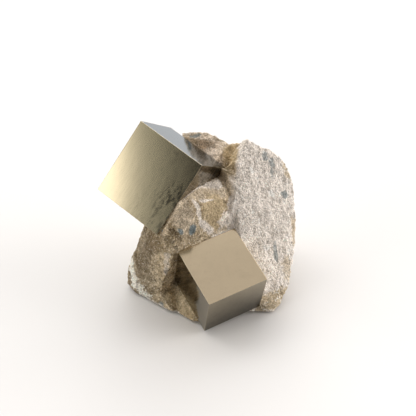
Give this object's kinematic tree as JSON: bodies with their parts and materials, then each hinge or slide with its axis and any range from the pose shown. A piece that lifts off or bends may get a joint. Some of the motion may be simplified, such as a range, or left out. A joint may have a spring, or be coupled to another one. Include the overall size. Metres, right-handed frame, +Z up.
{
  "type": "pyrite specimen",
  "caption": "Broken block of pale marl holding sharp, mirror-faced pyrite cubes, one leaning out at the top and one low at the front.",
  "frame": {"origin": "middle of the specimen's bounding box at the level of the flat base", "axes": "+Z up from the base; +X to the right, seen from the side that shows both crystals; +Y away from that side"},
  "size_m": [0.061, 0.0566, 0.0582],
  "materials": {
    "marl": "rough broken surface, pale grey-buff to brown",
    "pyrite": "natural bright metallic crystal faces, almost mirror smooth"
  },
  "bodies": {
    "root": {"matrix_rock": "marl", "large_pyrite_cube": "pyrite", "small_pyrite_cube": "pyrite"}
  },
  "joints": []
}
